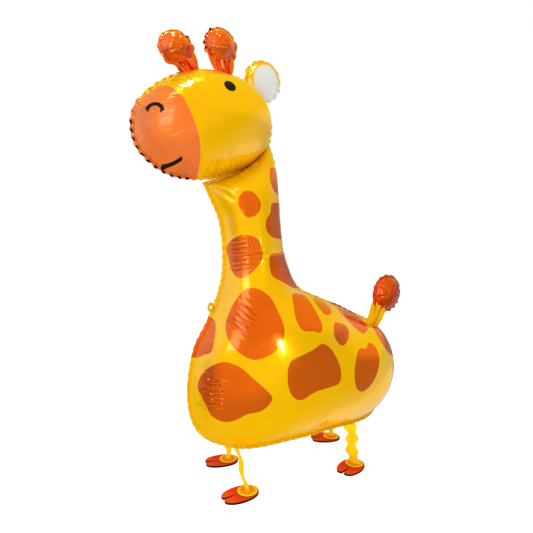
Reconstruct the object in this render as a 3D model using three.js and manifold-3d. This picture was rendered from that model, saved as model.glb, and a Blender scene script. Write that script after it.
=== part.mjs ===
// Giraffe foil balloon that stands on four card hooves.
// Millimetres, +Z up. The giraffe faces -X and its left side is -Y.
// Two sealed foil envelopes (body, head), four folded paper legs, four card feet.
import * as THREE from 'three';
import { mergeVertices } from 'three/addons/utils/BufferGeometryUtils.js';
import Module from 'manifold-3d';

const wasm = await Module();
wasm.setup();

// Main sizes. Places below are shares of them, so the whole giraffe follows each one.
const fullLength = 635;       // toe of the muzzle to the tail ball
const fullHeight = 900;       // floor to the top of the rear horn
const bodyWidth = 222;        // belly, across its widest place
const headHalf = 80;          // half the head's thickness at its middle

// Foil and seams
const seamWidth = 6;          // flat welded border outside the chamber
const seamHalf = 0.6;         // half thickness of that border
const gap = 0.3;              // air between two pieces that touch

// Body stations, from the neck's open top down the neck, round the chest and back to the rump.
// front: seam of throat, chest and belly. back: seam of nape, back and tail root.
// Places are [share of fullLength, share of fullHeight]; half and gusset are shares of bodyWidth.
const bodyStations = [
  { front: [-0.28, 0.647], back: [-0.071, 0.749], half: 0.162, gusset: 0 },
  { front: [-0.257, 0.614], back: [-0.049, 0.7], half: 0.234, gusset: 0 },
  { front: [-0.231, 0.569], back: [-0.039, 0.629], half: 0.257, gusset: 0 },
  { front: [-0.22, 0.498], back: [-0.031, 0.556], half: 0.257, gusset: 0 },
  { front: [-0.228, 0.431], back: [-0.014, 0.489], half: 0.27, gusset: 0 },
  { front: [-0.269, 0.353], back: [0.035, 0.42], half: 0.342, gusset: 0 },
  { front: [-0.314, 0.287], back: [0.129, 0.388], half: 0.423, gusset: 0 },
  { front: [-0.331, 0.191], back: [0.202, 0.369], half: 0.477, gusset: 0 },
  { front: [-0.298, 0.117], back: [0.254, 0.352], half: 0.495, gusset: 0.05 },
  { front: [-0.195, 0.094], back: [0.29, 0.341], half: 0.5, gusset: 0.25 },
  { front: [-0.031, 0.103], back: [0.317, 0.333], half: 0.491, gusset: 0.347 },
  { front: [0.118, 0.108], back: [0.334, 0.328], half: 0.482, gusset: 0.338 },
  { front: [0.265, 0.109], back: [0.348, 0.323], half: 0.468, gusset: 0.306 },
  { front: [0.372, 0.127], back: [0.362, 0.318], half: 0.432, gusset: 0.18 },
];
const ringsPerStation = 3;    // lofted rings between two stations
const acrossSteps = 9;        // columns from the front seam to the back seam
const neckScoop = 12;         // how deep the neck's top seam sags under the head
const neckTopRound = 0.9;     // stations over which the neck closes to its top seam
const rumpBulge = 22;         // how far the rump stands out behind the last station
const rumpRound = 2.2;        // stations over which the rump closes to its seam
const bellyDrop = 14;         // how far the belly panel hangs below its two seams
const gussetBlend = 40;       // gusset width at which the belly panel has fully opened

// head lobe
const headCentre = [-0.287, 0.778];
const headOutline = [
  [-0.493, 0.757], [-0.471, 0.808], [-0.397, 0.858], [-0.301, 0.889],
  [-0.192, 0.888], [-0.106, 0.863], [-0.065, 0.804], [-0.083, 0.741],
  [-0.154, 0.692], [-0.265, 0.666], [-0.383, 0.664], [-0.469, 0.704],
];
const headSegments = 44;
const pillowRings = 7;        // rings from the middle of a lobe to its seam

// small lobes
// centre [x, z], radii [along the stalk, across it], half thickness, lean from +Z toward +X
const lobeSegments = 22;
const lobeRings = 4;
const hornFront = { centre: [-0.370, 0.929], radii: [30, 29], half: 24, lean: -38 };
const hornBack = { centre: [-0.233, 0.956], radii: [32, 29], half: 24, lean: -4 };
const hornFrontRoot = [-0.307, 0.871];
const hornBackRoot = [-0.219, 0.871];
const ear = { centre: [-0.090, 0.897], radii: [40, 35], half: 15, lean: 20 };
const tail = { centre: [0.430, 0.397], radii: [41, 36], half: 27, lean: 30 };
const tailRootInset = [0.016, 0.013];   // how far the tail stalk starts inside the rump's top
const stalkHalf = [14, 9];    // half width in the seam plane, half thickness across it
const stalkFlare = 1.7;       // stalk size inside its lobe, as a share of its root
const stalkSegments = 12;
const stalkRings = 4;

// leash tab
const tabPlace = 4.68;        // body station at whose front seam the tab stands
const tabOut = 7;             // tab's middle to the seam
const tabRadii = [7, 10];
const tabHole = 2.6;
const tabHalf = 0.8;

// legs and feet
const footLength = 72;
const footWidth = 48;
const footThick = 4;
const cleftLength = 30;
const cleftWidth = 5;
const heelRadius = 19;
const heelRaise = 1.2;
const heelInset = 2.5;        // heel disc's edge to the foot's edge
// Centre of each sole and top of each leg, as shares of fullLength and bodyWidth.
// Heading of the toe (degrees from -X toward -Y),
// half width of its strip, swollen folds along it, sideways sway, way the strip faces and how far it turns (degrees).
const legs = [
  { name: 'front_left', foot: [-0.206, -0.302], heading: 6, top: [-0.205, -0.17],
    half: 4.2, folds: 2, sway: -5, face: -30, twist: 100 },
  { name: 'front_right', foot: [-0.198, 0.288], heading: -8, top: [-0.205, 0.17],
    half: 6, folds: 3, sway: 3, face: -24, twist: 80 },
  { name: 'rear_left', foot: [0.180, -0.320], heading: 24, top: [0.183, -0.285],
    half: 11.5, folds: 3.5, sway: -5, face: -40, twist: 40 },
  { name: 'rear_right', foot: [0.222, 0.306], heading: -16, top: [0.265, 0.235],
    half: 7, folds: 3, sway: -4, face: 0, twist: 60 },
];
const legThin = 3.6;          // half thickness of the folded strip
const legFoldDepth = 0.22;    // how much a fold swells and narrows the strip
const legRings = 22;
const legSides = 10;

// helpers
const lerp = THREE.MathUtils.lerp;
const clamp = THREE.MathUtils.clamp;
const rad = THREE.MathUtils.degToRad;

const inProfile = ([x, z]) => [x * fullLength, z * fullHeight];
const onFloor = ([x, y]) => [x * fullLength, y * bodyWidth];

function smooth(value) {
  const v = clamp(value, 0, 1);
  return v * v * (3 - 2 * v);
}

// A quarter-ellipse rise from 0 at the seam to 1 at the given distance from it.
function roundRise(distance, reach) {
  const left = 1 - clamp(distance / reach, 0, 1);
  return Math.sqrt(Math.max(0, 1 - left * left));
}

// Catmull-Rom value between numbers listed one per station.
function between(values, place) {
  const i = clamp(Math.floor(place), 0, values.length - 2);
  const f = place - i;
  const a = values[Math.max(i - 1, 0)];
  const b = values[i];
  const c = values[i + 1];
  const d = values[Math.min(i + 2, values.length - 1)];
  const bend = 2 * a - 5 * b + 4 * c - d;
  const turn = 3 * (b - c) + d - a;
  return b + 0.5 * f * (c - a + f * (bend + f * turn));
}

// Closed solid from rings of equal length. A pole is a point that closes an end;
// without poles each end ring is filled in its own flat coordinates.
function loft(rings, poles, flatten) {
  const count = rings[0].length;
  const points = rings.flat().map((p) => [...p]);
  const faces = [];
  for (let r = 0; r + 1 < rings.length; r += 1) {
    for (let k = 0; k < count; k += 1) {
      const next = (k + 1) % count;
      const a = r * count + k;
      const b = r * count + next;
      faces.push([a, b, a + count], [b, b + count, a + count]);
    }
  }
  const last = (rings.length - 1) * count;
  if (poles) {
    points.push(poles[0], poles[1]);
    for (let k = 0; k < count; k += 1) {
      const next = (k + 1) % count;
      faces.push([points.length - 2, next, k]);
      faces.push([points.length - 1, last + k, last + next]);
    }
  } else {
    for (const [base, reversed] of [[0, true], [last, false]]) {
      const flat = rings[base / count].map(flatten);
      for (const face of THREE.ShapeUtils.triangulateShape(flat, [])) {
        const turned = reversed !== THREE.ShapeUtils.isClockWise(flat);
        const [a, b, c] = turned ? face : [...face].reverse();
        faces.push([base + a, base + c, base + b]);
      }
    }
  }
  return closedSolid(points, faces);
}

function closedSolid(points, faces) {
  let volume = 0;
  for (const [a, b, c] of faces) {
    const pa = new THREE.Vector3(...points[a]);
    const cross = new THREE.Vector3(...points[b]).cross(new THREE.Vector3(...points[c]));
    volume += pa.dot(cross);
  }
  const order = volume > 0 ? (f) => f : (f) => [f[0], f[2], f[1]];
  return new wasm.Manifold(new wasm.Mesh({
    numProp: 3,
    vertProperties: new Float32Array(points.flat()),
    triVerts: new Uint32Array(faces.map(order).flat()),
  }));
}

// Solid of one of three.js's own closed geometries.
function fromGeometry(geometry) {
  geometry.deleteAttribute('normal');
  geometry.deleteAttribute('uv');
  const merged = mergeVertices(geometry, 1e-4);
  return new wasm.Manifold(new wasm.Mesh({
    numProp: 3,
    vertProperties: new Float32Array(merged.attributes.position.array),
    triVerts: new Uint32Array(merged.index.array),
  }));
}

// body envelope
const stationCount = bodyStations.length;
const frontX = bodyStations.map((s) => s.front[0] * fullLength);
const frontZ = bodyStations.map((s) => s.front[1] * fullHeight);
const backX = bodyStations.map((s) => s.back[0] * fullLength);
const backZ = bodyStations.map((s) => s.back[1] * fullHeight);
const halves = bodyStations.map((s) => s.half * bodyWidth);
const gussets = bodyStations.map((s) => s.gusset * bodyWidth);

// Point of the profile plane at a station and a share of the way from front to back seam.
function profilePoint(place, across) {
  const front = new THREE.Vector2(between(frontX, place), between(frontZ, place));
  const back = new THREE.Vector2(between(backX, place), between(backZ, place));
  const chord = back.clone().sub(front);
  const along = new THREE.Vector2(chord.y, -chord.x).normalize();
  const arch = 4 * across * (1 - across);
  const scoop = neckScoop * arch * (1 - smooth(place / 2));
  const bulge = rumpBulge * arch * smooth((place - stationCount + 4) / 3);
  return front.add(chord.multiplyScalar(across)).addScaledVector(along, scoop + bulge);
}

// Outward direction of the front (0) or back (1) seam in the profile plane.
function seamNormal(place, across) {
  const step = 0.05;
  const from = profilePoint(Math.max(place - step, 0), across);
  const to = profilePoint(Math.min(place + step, stationCount - 1), across);
  const run = to.sub(from).normalize();
  return across === 0 ? new THREE.Vector2(-run.y, run.x).negate() : new THREE.Vector2(-run.y, run.x);
}

function halfThickness(place, across) {
  const gusset = between(gussets, place);
  const half = between(halves, place);
  const closing = roundRise(place, neckTopRound) * roundRise(stationCount - 1 - place, rumpRound);
  const swell = 4 * (half * half - 0.4 * gusset * gusset) * across * (1 - across);
  const square = swell + gusset * gusset * (1 - across);
  return Math.max(seamHalf, Math.sqrt(Math.max(square, 0)) * closing);
}

// One closed ring of the body: near flank, far flank, then the belly panel between its seams.
function bodyRing(place, outset) {
  const near = [];
  const frontOut = seamNormal(place, 0);
  const backOut = seamNormal(place, 1);
  const closing = roundRise(place, neckTopRound) * roundRise(stationCount - 1 - place, rumpRound);
  const gusset = Math.max(between(gussets, place), 0) * closing;
  const open = smooth(gusset / gussetBlend);
  const shift = (point) => point.add(outset);
  const frontRoot = shift(profilePoint(place, 0));
  const frontTip = frontRoot.clone().addScaledVector(frontOut, seamWidth * (1 - 0.35 * open));
  const backRoot = shift(profilePoint(place, 1));
  const backTip = backRoot.clone().addScaledVector(backOut, seamWidth);
  const splay = 0.75 * seamWidth * open;
  near.push([frontTip.x, -(gusset + seamHalf + splay), frontTip.y]);
  near.push([frontRoot.x, -(gusset + seamHalf), frontRoot.y]);
  for (let k = 1; k < acrossSteps; k += 1) {
    const across = 0.5 - 0.5 * Math.cos((Math.PI * k) / acrossSteps);
    const point = shift(profilePoint(place, across));
    const half = outset.lengthSq() > 0 ? seamHalf : halfThickness(place, across);
    near.push([point.x, -half, point.y]);
  }
  near.push([backRoot.x, -seamHalf, backRoot.y]);
  near.push([backTip.x, -seamHalf, backTip.y]);
  const far = near.map(([x, y, z]) => [x, -y, z]).reverse();
  const belly = [];
  for (const share of [1, 0.6, 0, -0.6, -1]) {
    const drop = (1 - share * share) * bellyDrop;
    const panel = frontRoot.clone().addScaledVector(frontOut, drop);
    const point = frontTip.clone().lerp(panel, open);
    const inside = Math.max(gusset - seamHalf, 0.4);
    belly.push([point.x, share * inside, point.y]);
  }
  return [...near, ...far, ...belly];
}

function bodyEnvelope() {
  const rings = [];
  const ringCount = (stationCount - 1) * ringsPerStation;
  const topOut = new THREE.Vector2(frontX[0] - frontX[1], frontZ[0] - frontZ[1]).normalize();
  const still = new THREE.Vector2(0, 0);
  rings.push(bodyRing(0, topOut.multiplyScalar(seamWidth)));
  for (let r = 0; r <= ringCount; r += 1) {
    rings.push(bodyRing(r / ringsPerStation, still));
  }
  rings.push(bodyRing(stationCount - 1, new THREE.Vector2(seamWidth, 0)));
  const flatten = ([x, y, z]) => new THREE.Vector2(x * 0.3 + z, y);
  return loft(rings, null, flatten);
}

// pillows and stalks
// Puffed lobe with a flat welded border, from its middle and outline in the profile plane.
function pillow(centre, outline, half, ringCount, grow = 0) {
  const rings = [];
  const ringAt = (share, y, border) => outline.map(([x, z]) => {
    const arm = new THREE.Vector2(x - centre[0], z - centre[1]);
    const reach = arm.length();
    arm.multiplyScalar((share * reach + border) / reach);
    return [centre[0] + arm.x, y, centre[1] + arm.y];
  });
  const puff = half + grow;
  for (let k = 1; k < ringCount; k += 1) {
    const angle = (0.5 * Math.PI * k) / ringCount;
    rings.push(ringAt(Math.sin(angle), -puff * Math.cos(angle), grow));
  }
  const root = seamHalf + grow;
  rings.push(ringAt(1, -root, grow));
  rings.push(ringAt(1, -root, seamWidth + grow));
  const mirrored = rings.map((ring) => ring.map(([x, y, z]) => [x, -y, z])).reverse();
  const poles = [[centre[0], -puff, centre[1]], [centre[0], puff, centre[1]]];
  return loft([...rings, ...mirrored], poles);
}

function ovalOutline(lobe) {
  const [middleX, middleZ] = inProfile(lobe.centre);
  const lean = rad(lobe.lean);
  return Array.from({ length: lobeSegments }, (_, k) => {
    const turn = (2 * Math.PI * k) / lobeSegments;
    const along = lobe.radii[0] * Math.cos(turn);
    const side = lobe.radii[1] * Math.sin(turn);
    const x = middleX + along * Math.sin(lean) + side * Math.cos(lean);
    const z = middleZ + along * Math.cos(lean) - side * Math.sin(lean);
    return [x, z];
  });
}

function smallLobe(lobe) {
  return pillow(inProfile(lobe.centre), ovalOutline(lobe), lobe.half, lobeRings);
}

// Flattened tube that widens from a root point to the middle of a lobe.
function stalk(root, tip) {
  const direction = new THREE.Vector2(tip[0] - root[0], tip[1] - root[1]).normalize();
  const rings = [];
  for (let r = 0; r <= stalkRings; r += 1) {
    const share = r / stalkRings;
    const size = lerp(1, stalkFlare, smooth(share));
    rings.push(Array.from({ length: stalkSegments }, (_, k) => {
      const turn = (2 * Math.PI * k) / stalkSegments;
      const side = stalkHalf[0] * size * Math.cos(turn);
      const x = lerp(root[0], tip[0], share) + side * direction.y;
      const z = lerp(root[1], tip[1], share) - side * direction.x;
      return [x, stalkHalf[1] * size * Math.sin(turn), z];
    }));
  }
  return loft(rings, [[root[0], 0, root[1]], [tip[0], 0, tip[1]]]);
}

function headLine() {
  const loop = headOutline.map(inProfile).map(([x, z]) => new THREE.Vector3(x, 0, z));
  const curve = new THREE.CatmullRomCurve3(loop, true, 'catmullrom', 0.5);
  return curve.getSpacedPoints(headSegments).slice(0, headSegments).map((p) => [p.x, p.z]);
}

function headEnvelope() {
  return pillow(inProfile(headCentre), headLine(), headHalf, pillowRings)
    .add(smallLobe(hornFront))
    .add(stalk(inProfile(hornFrontRoot), inProfile(hornFront.centre)))
    .add(smallLobe(hornBack))
    .add(stalk(inProfile(hornBackRoot), inProfile(hornBack.centre)))
    .add(smallLobe(ear));
}

function tailStalk() {
  const end = bodyStations[stationCount - 1].back;
  const root = [end[0] - tailRootInset[0], end[1] - tailRootInset[1]];
  return stalk(inProfile(root), inProfile(tail.centre));
}

function leashTab() {
  const shape = new THREE.Shape();
  shape.absellipse(0, 0, tabRadii[0], tabRadii[1], 0, 2 * Math.PI);
  const hole = new THREE.Path();
  hole.absarc(0, 0, tabHole, 0, 2 * Math.PI, true);
  shape.holes.push(hole);
  const plate = new THREE.ExtrudeGeometry(shape, {
    depth: 2 * tabHalf, bevelEnabled: false, curveSegments: 8,
  });
  plate.translate(0, 0, -tabHalf);
  plate.rotateX(Math.PI / 2);
  const middle = profilePoint(tabPlace, 0).addScaledVector(seamNormal(tabPlace, 0), tabOut);
  plate.translate(middle.x, 0, middle.y);
  return fromGeometry(plate);
}

// feet and legs
// Cloven sole with its toe toward -X, before it is turned to its heading.
function footSolid(leg) {
  const shape = new THREE.Shape();
  const side = footWidth / 2;
  const toe = -footLength / 2;
  const heel = footLength / 2;
  const tip = toe + cleftWidth * 0.6;
  const bow = toe - cleftWidth * 0.6;
  const toeRound = toe + footWidth * 0.25;
  const heelRound = heel - footWidth * 0.25;
  shape.moveTo(toe + cleftLength, 0);
  shape.lineTo(tip, -cleftWidth / 2);
  shape.bezierCurveTo(bow, -side * 0.55, toeRound, -side, 0, -side);
  shape.bezierCurveTo(heelRound, -side, heel, -side * 0.6, heel, 0);
  shape.bezierCurveTo(heel, side * 0.6, heelRound, side, 0, side);
  shape.bezierCurveTo(toeRound, side, bow, side * 0.55, tip, cleftWidth / 2);
  const sole = new THREE.ExtrudeGeometry(shape, {
    depth: footThick, bevelEnabled: false, curveSegments: 7,
  });
  const disc = new THREE.CylinderGeometry(heelRadius, heelRadius, footThick + heelRaise, 24);
  disc.rotateX(Math.PI / 2);
  disc.translate(heel - heelRadius - heelInset, 0, (footThick + heelRaise) / 2);
  const turn = rad(leg.heading);
  for (const piece of [sole, disc]) {
    piece.rotateZ(turn);
    piece.translate(...onFloor(leg.foot), 0);
  }
  return fromGeometry(sole).add(fromGeometry(disc));
}

function heelCentre(leg) {
  const back = footLength / 2 - heelRadius - heelInset;
  const turn = rad(leg.heading);
  const [x, y] = onFloor(leg.foot);
  return [x + back * Math.cos(turn), y + back * Math.sin(turn)];
}

// Height of the film that a leg hangs from, above a point of the floor.
function bellyUnder(x, y) {
  let low = 7;
  let high = stationCount - 1;
  for (let n = 0; n < 30; n += 1) {
    const middle = (low + high) / 2;
    if (between(frontX, middle) < x) {
      low = middle;
    } else {
      high = middle;
    }
  }
  const gusset = between(gussets, low);
  const share = Math.min(1, Math.abs(y) / Math.max(gusset - seamHalf, 0.4));
  const drop = (1 - share * share) * bellyDrop;
  return between(frontZ, low) - lerp(seamWidth, drop, smooth(gusset / gussetBlend));
}

// Folded strip from the belly seam to the heel: it swells at each fold and turns as it hangs.
function legSolid(leg) {
  const [heelX, heelY] = heelCentre(leg);
  const [topX, topY] = onFloor(leg.top);
  const footZ = footThick + heelRaise + gap;
  const rings = [];
  for (let r = 0; r <= legRings; r += 1) {
    const share = r / legRings;
    const swing = leg.sway * Math.sin(2 * Math.PI * share) * Math.sin(Math.PI * share);
    const x = lerp(heelX, topX, smooth(share)) + swing;
    const y = lerp(heelY, topY, share);
    const fold = 1 + legFoldDepth * Math.cos(2 * Math.PI * leg.folds * share);
    const turn = rad(leg.face + leg.twist * (share - 0.5));
    rings.push(Array.from({ length: legSides }, (_, k) => {
      const angle = (2 * Math.PI * k) / legSides;
      const wide = leg.half * fold * Math.cos(angle);
      const thin = legThin * fold * Math.sin(angle);
      const px = x + wide * Math.cos(turn) - thin * Math.sin(turn);
      const py = y + wide * Math.sin(turn) + thin * Math.cos(turn);
      return [px, py, lerp(footZ, bellyUnder(px, py) - gap, share)];
    }));
  }
  return loft(rings, null, ([x, y]) => new THREE.Vector2(x, y));
}

// assembly
const foil = { color: 0xf2b705, roughness: 0.28, metalness: 0.35 };
const paper = { color: 0xf0c21a, roughness: 0.85, metalness: 0 };
const card = { color: 0xe0431a, roughness: 0.6, metalness: 0 };

const headRoom = pillow(inProfile(headCentre), headLine(), headHalf, pillowRings, gap);
const body = bodyEnvelope()
  .add(smallLobe(tail))
  .add(tailStalk())
  .add(leashTab())
  .subtract(headRoom);

const pieces = [
  ['body_balloon', body, foil],
  ['head_balloon', headEnvelope(), foil],
];
for (const leg of legs) {
  pieces.push([`foot_${leg.name}`, footSolid(leg), card]);
  pieces.push([`leg_${leg.name}`, legSolid(leg), paper]);
}

const giraffe = new THREE.Group();
giraffe.name = 'giraffe_foil_balloon';
for (const [name, solid, look] of pieces) {
  const mesh = solid.getMesh();
  const geometry = new THREE.BufferGeometry();
  geometry.setAttribute('position', new THREE.BufferAttribute(mesh.vertProperties, mesh.numProp));
  geometry.setIndex(new THREE.BufferAttribute(mesh.triVerts, 1));
  geometry.computeVertexNormals();
  const node = new THREE.Mesh(geometry, new THREE.MeshStandardMaterial(look));
  node.name = name;
  giraffe.add(node);
}

// The frame's origin is on the floor under the middle of the whole part.
const box = new THREE.Box3().setFromObject(giraffe);
for (const node of giraffe.children) {
  node.geometry.translate(-(box.min.x + box.max.x) / 2, -(box.min.y + box.max.y) / 2, -box.min.z);
}

export default giraffe;
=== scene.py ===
# %% [markdown]
# A walking giraffe balloon: two pillows of metallised film, one for the body and one for
# the head, on four strips of folded paper with flat card hooves. Everything that makes it
# look like foil is in two places: the small puckers that a welded seam pulls into the film,
# and a finish that is part ink, part mirror. The solids from the CAD step give the sizes.

# %% Load the frame
import math
import bmesh
import bpy
import numpy as np
from mathutils import Matrix, Vector


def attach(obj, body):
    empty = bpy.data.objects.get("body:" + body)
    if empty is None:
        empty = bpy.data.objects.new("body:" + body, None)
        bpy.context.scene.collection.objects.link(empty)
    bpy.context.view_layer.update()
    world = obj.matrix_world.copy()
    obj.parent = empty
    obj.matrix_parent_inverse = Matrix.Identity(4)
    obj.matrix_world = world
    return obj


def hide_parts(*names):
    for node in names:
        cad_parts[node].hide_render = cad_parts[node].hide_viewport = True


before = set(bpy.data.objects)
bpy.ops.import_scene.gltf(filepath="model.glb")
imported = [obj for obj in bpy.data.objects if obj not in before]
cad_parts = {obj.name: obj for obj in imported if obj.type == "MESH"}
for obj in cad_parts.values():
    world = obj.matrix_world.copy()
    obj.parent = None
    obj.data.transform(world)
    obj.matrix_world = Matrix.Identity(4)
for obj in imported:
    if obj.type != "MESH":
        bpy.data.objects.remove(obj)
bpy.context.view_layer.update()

MM = 0.001

# %% [markdown]
# The photograph was taken with a wide lens, level, from in front of the giraffe's left side
# and less than a metre away: the hooves are seen from above and the chin from below, while
# upright lines stay upright. A level camera needs no shift for that.

# %% Camera
IMAGE_SIDE = 533
FOCAL_PIXELS = 380.0
CAMERA_PLACE = (-0.3715, -0.727, 0.4225)
CAMERA_TURN = math.radians(-24.1)
SENSOR_WIDTH = 36.0
camera_data = bpy.data.cameras.new("camera")
camera_data.sensor_width = SENSOR_WIDTH
camera_data.lens = SENSOR_WIDTH * FOCAL_PIXELS / IMAGE_SIDE
camera = bpy.data.objects.new("camera", camera_data)
camera.location = CAMERA_PLACE
camera.rotation_euler = (math.pi / 2, 0, CAMERA_TURN)
bpy.context.scene.collection.objects.link(camera)
bpy.context.scene.camera = camera
bpy.context.scene.view_settings.view_transform = "Standard"
print("lens", round(camera_data.lens, 2), "mm")

# %% [markdown]
# The film is cut from flat sheets, so its shape is known from its outline: every point is a
# place along the body (station) and a share of the way across it, from the front seam to the
# back seam. These are the same main sizes and stations that the solids were made from.

# %% Main sizes and body stations
FULL_LENGTH = 635 * MM
FULL_HEIGHT = 900 * MM
BODY_WIDTH = 222 * MM
HEAD_HALF = 80 * MM
CENTRE_SHIFT = 1.54 * MM
SEAM_WIDTH = 6 * MM
SEAM_HALF = 0.4 * MM
NECK_SCOOP = 12 * MM
NECK_TOP_ROUND = 0.9
RUMP_BULGE = 22 * MM
RUMP_ROUND = 2.2
BELLY_DROP = 14 * MM
GUSSET_BLEND = 40 * MM
GUSSET_FLATTEN = 0.4
stations = np.array([
    # front x, front z, back x, back z, half width, belly panel's half width
    (-0.280, 0.647, -0.071, 0.749, 0.162, 0),
    (-0.257, 0.614, -0.049, 0.700, 0.234, 0),
    (-0.231, 0.569, -0.039, 0.629, 0.257, 0),
    (-0.220, 0.498, -0.031, 0.556, 0.257, 0),
    (-0.228, 0.431, -0.014, 0.489, 0.270, 0),
    (-0.269, 0.353, 0.035, 0.420, 0.342, 0),
    (-0.314, 0.287, 0.129, 0.388, 0.423, 0),
    (-0.331, 0.191, 0.202, 0.369, 0.477, 0),
    (-0.298, 0.117, 0.254, 0.352, 0.495, 0.050),
    (-0.195, 0.094, 0.290, 0.341, 0.500, 0.250),
    (-0.031, 0.103, 0.317, 0.333, 0.491, 0.347),
    (0.118, 0.108, 0.334, 0.328, 0.482, 0.338),
    (0.265, 0.109, 0.348, 0.323, 0.468, 0.306),
    (0.372, 0.127, 0.362, 0.318, 0.432, 0.180),
])
LAST = len(stations) - 1
unit = (FULL_LENGTH, FULL_HEIGHT, FULL_LENGTH, FULL_HEIGHT, BODY_WIDTH, BODY_WIDTH)
front_x, front_z, back_x, back_z, half_list, gusset_list = (stations * unit).T
print("stations", len(stations))


# %% Curves through the stations
def smooth(value):
    v = np.clip(value, 0, 1)
    return v * v * (3 - 2 * v)


def round_rise(distance, reach):
    left = 1 - np.clip(distance / reach, 0, 1)
    return np.sqrt(np.maximum(0, 1 - left * left))


def between(values, place):
    i = np.clip(np.floor(place).astype(int), 0, len(values) - 2)
    f = place - i
    a, b = values[np.maximum(i - 1, 0)], values[i]
    c, d = values[i + 1], values[np.minimum(i + 2, len(values) - 1)]
    return b + 0.5 * f * (c - a + f * (2 * a - 5 * b + 4 * c - d + f * (3 * (b - c) + d - a)))


def profile_point(place, across):
    """Place in the profile plane (x, z) at a station and a share of the way across."""
    fx, fz = between(front_x, place), between(front_z, place)
    cx, cz = between(back_x, place) - fx, between(back_z, place) - fz
    size = np.hypot(cx, cz)
    arch = 4 * across * (1 - across)
    push = NECK_SCOOP * arch * (1 - smooth(place / 2))
    push = push + RUMP_BULGE * arch * smooth((place - LAST + 3) / 3)
    return fx + cx * across + cz / size * push, fz + cz * across - cx / size * push


def seam_out(place, across):
    """Unit direction out of the film at the front (0) or back (1) seam."""
    nudge = 0.05
    x0, z0 = profile_point(np.maximum(place - nudge, 0), across)
    x1, z1 = profile_point(np.minimum(place + nudge, LAST), across)
    size = np.hypot(x1 - x0, z1 - z0)
    side = 1 if across else -1
    return -(z1 - z0) / size * side, (x1 - x0) / size * side


def closing(place):
    return round_rise(place, NECK_TOP_ROUND) * round_rise(LAST - place, RUMP_ROUND)


def half_thickness(place, across):
    gusset, half = between(gusset_list, place), between(half_list, place)
    swell = 4 * (half ** 2 - GUSSET_FLATTEN * gusset ** 2) * across * (1 - across)
    square = np.maximum(swell + gusset ** 2 * (1 - across), 0)
    return np.maximum(SEAM_HALF, np.sqrt(square) * closing(place))


def run_length(x, z):
    """Length along a line of points, from its first."""
    return np.concatenate([[0], np.cumsum(np.hypot(np.diff(x), np.diff(z)))])


widest = half_thickness(np.array([9.0]), np.array([0.45]))
print("widest half", round(float(widest[0]), 4), "m")

# %% [markdown]
# A weld stops the film from stretching, while the film beside it has to curve inwards, so
# spare length gathers into puckers that run straight away from the seam and die out. Three
# sizes of them, each with its own pitch and reach, look like the real thing. The finest ones
# are left to the finish, since a mesh that shows them would be very heavy.

# %% Puckers
MIDDLE_PITCH = 17 * MM
NOTHING = 1e-12  # keeps a division from failing


def seam_phase(run, pitch, seed):
    """Place within a row of puckers; each whole number is the bottom of one. The odd factors
    here and below keep neighbours unequal."""
    phase = run / pitch + 0.45 * np.sin(run / (3.1 * pitch) + seed)
    return phase + 0.3 * np.sin(run / (1.3 * pitch) + 2.3 * seed)


def pucker(run, reach, pitch, length, depth, seed):
    """Inward depth of a row of puckers at a run along the seam and a reach from it."""
    ridge = (0.5 - 0.5 * np.cos(2 * np.pi * seam_phase(run, pitch, seed))) ** 0.6
    uneven = 0.6 + 0.4 * np.sin(run / (1.9 * pitch) + 5 * seed)
    far = length * (0.7 + 0.3 * np.sin(run / (2.7 * pitch) + 3 * seed))
    fade = np.clip(1 - np.abs(reach) / far, 0, 1) ** 1.4
    return depth * uneven * (1 - ridge) * fade


def seam_puckers(run, reach, strength, seed):
    fine = pucker(run, reach, 9 * MM, 26 * MM, 0.55 * MM, seed)
    middle = pucker(run, reach, MIDDLE_PITCH, 46 * MM, 1.1 * MM, seed + 1)
    broad = pucker(run, reach, 41 * MM, 75 * MM, 1.7 * MM, seed + 2)
    return strength * (fine + middle + broad)


def scallop(run, size, seed):
    """How far the weld's edge swings out: in where a middle pucker pulls on it."""
    return -size * np.cos(2 * np.pi * seam_phase(run, MIDDLE_PITCH, seed + 1))


def fold_line(x, z, start, end, depth, width=2.0):
    """Depth of one crease between two places of the profile plane, with a low ridge beside it."""
    (ax, az), (bx, bz) = np.array(start) * MM, np.array(end) * MM
    length = math.hypot(bx - ax, bz - az)
    ux, uz = (bx - ax) / length, (bz - az) / length
    along = (x - ax) * ux + (z - az) * uz
    beside = (z - az) * ux - (x - ax) * uz
    beside = beside + 0.8 * MM * np.sin(along / (9 * MM) + ax * 900)
    ends = smooth((along + 3 * MM) / (5 * MM)) * smooth((length + 3 * MM - along) / (0.5 * length))
    valley = np.exp(-(beside / (width * MM)) ** 2)
    ridge = np.exp(-((beside - 1.9 * width * MM) / (width * MM)) ** 2)
    return depth * MM * ends * (valley - 0.55 * ridge)


def surface_normal(points):
    """Unit normals of a grid of points (rows, columns, 3)."""
    down, over = np.gradient(points, axis=0), np.gradient(points, axis=1)
    cross = np.cross(down, over)
    return cross / np.maximum(np.linalg.norm(cross, axis=2, keepdims=True), NOTHING)


def closed_curve(points, count):
    """Evenly spaced points on a smooth closed curve through the given ones."""
    p = np.array(points, float)
    steps = np.linspace(0, 1, 24, endpoint=False)[:, None]
    loop = []
    for i in range(len(p)):
        a, b, c, d = (p[(i + k) % len(p)] for k in (-1, 0, 1, 2))
        bend, turn = 2 * a - 5 * b + 4 * c - d, 3 * (b - c) + d - a
        loop.append(b + 0.5 * steps * (c - a + steps * (bend + steps * turn)))
    loop = np.concatenate(loop)
    loop = np.vstack([loop, loop[:1]])
    run = run_length(loop[:, 0], loop[:, 1])
    at = np.linspace(0, run[-1], count, endpoint=False)
    return np.column_stack([np.interp(at, run, loop[:, 0]), np.interp(at, run, loop[:, 1])])


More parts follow.
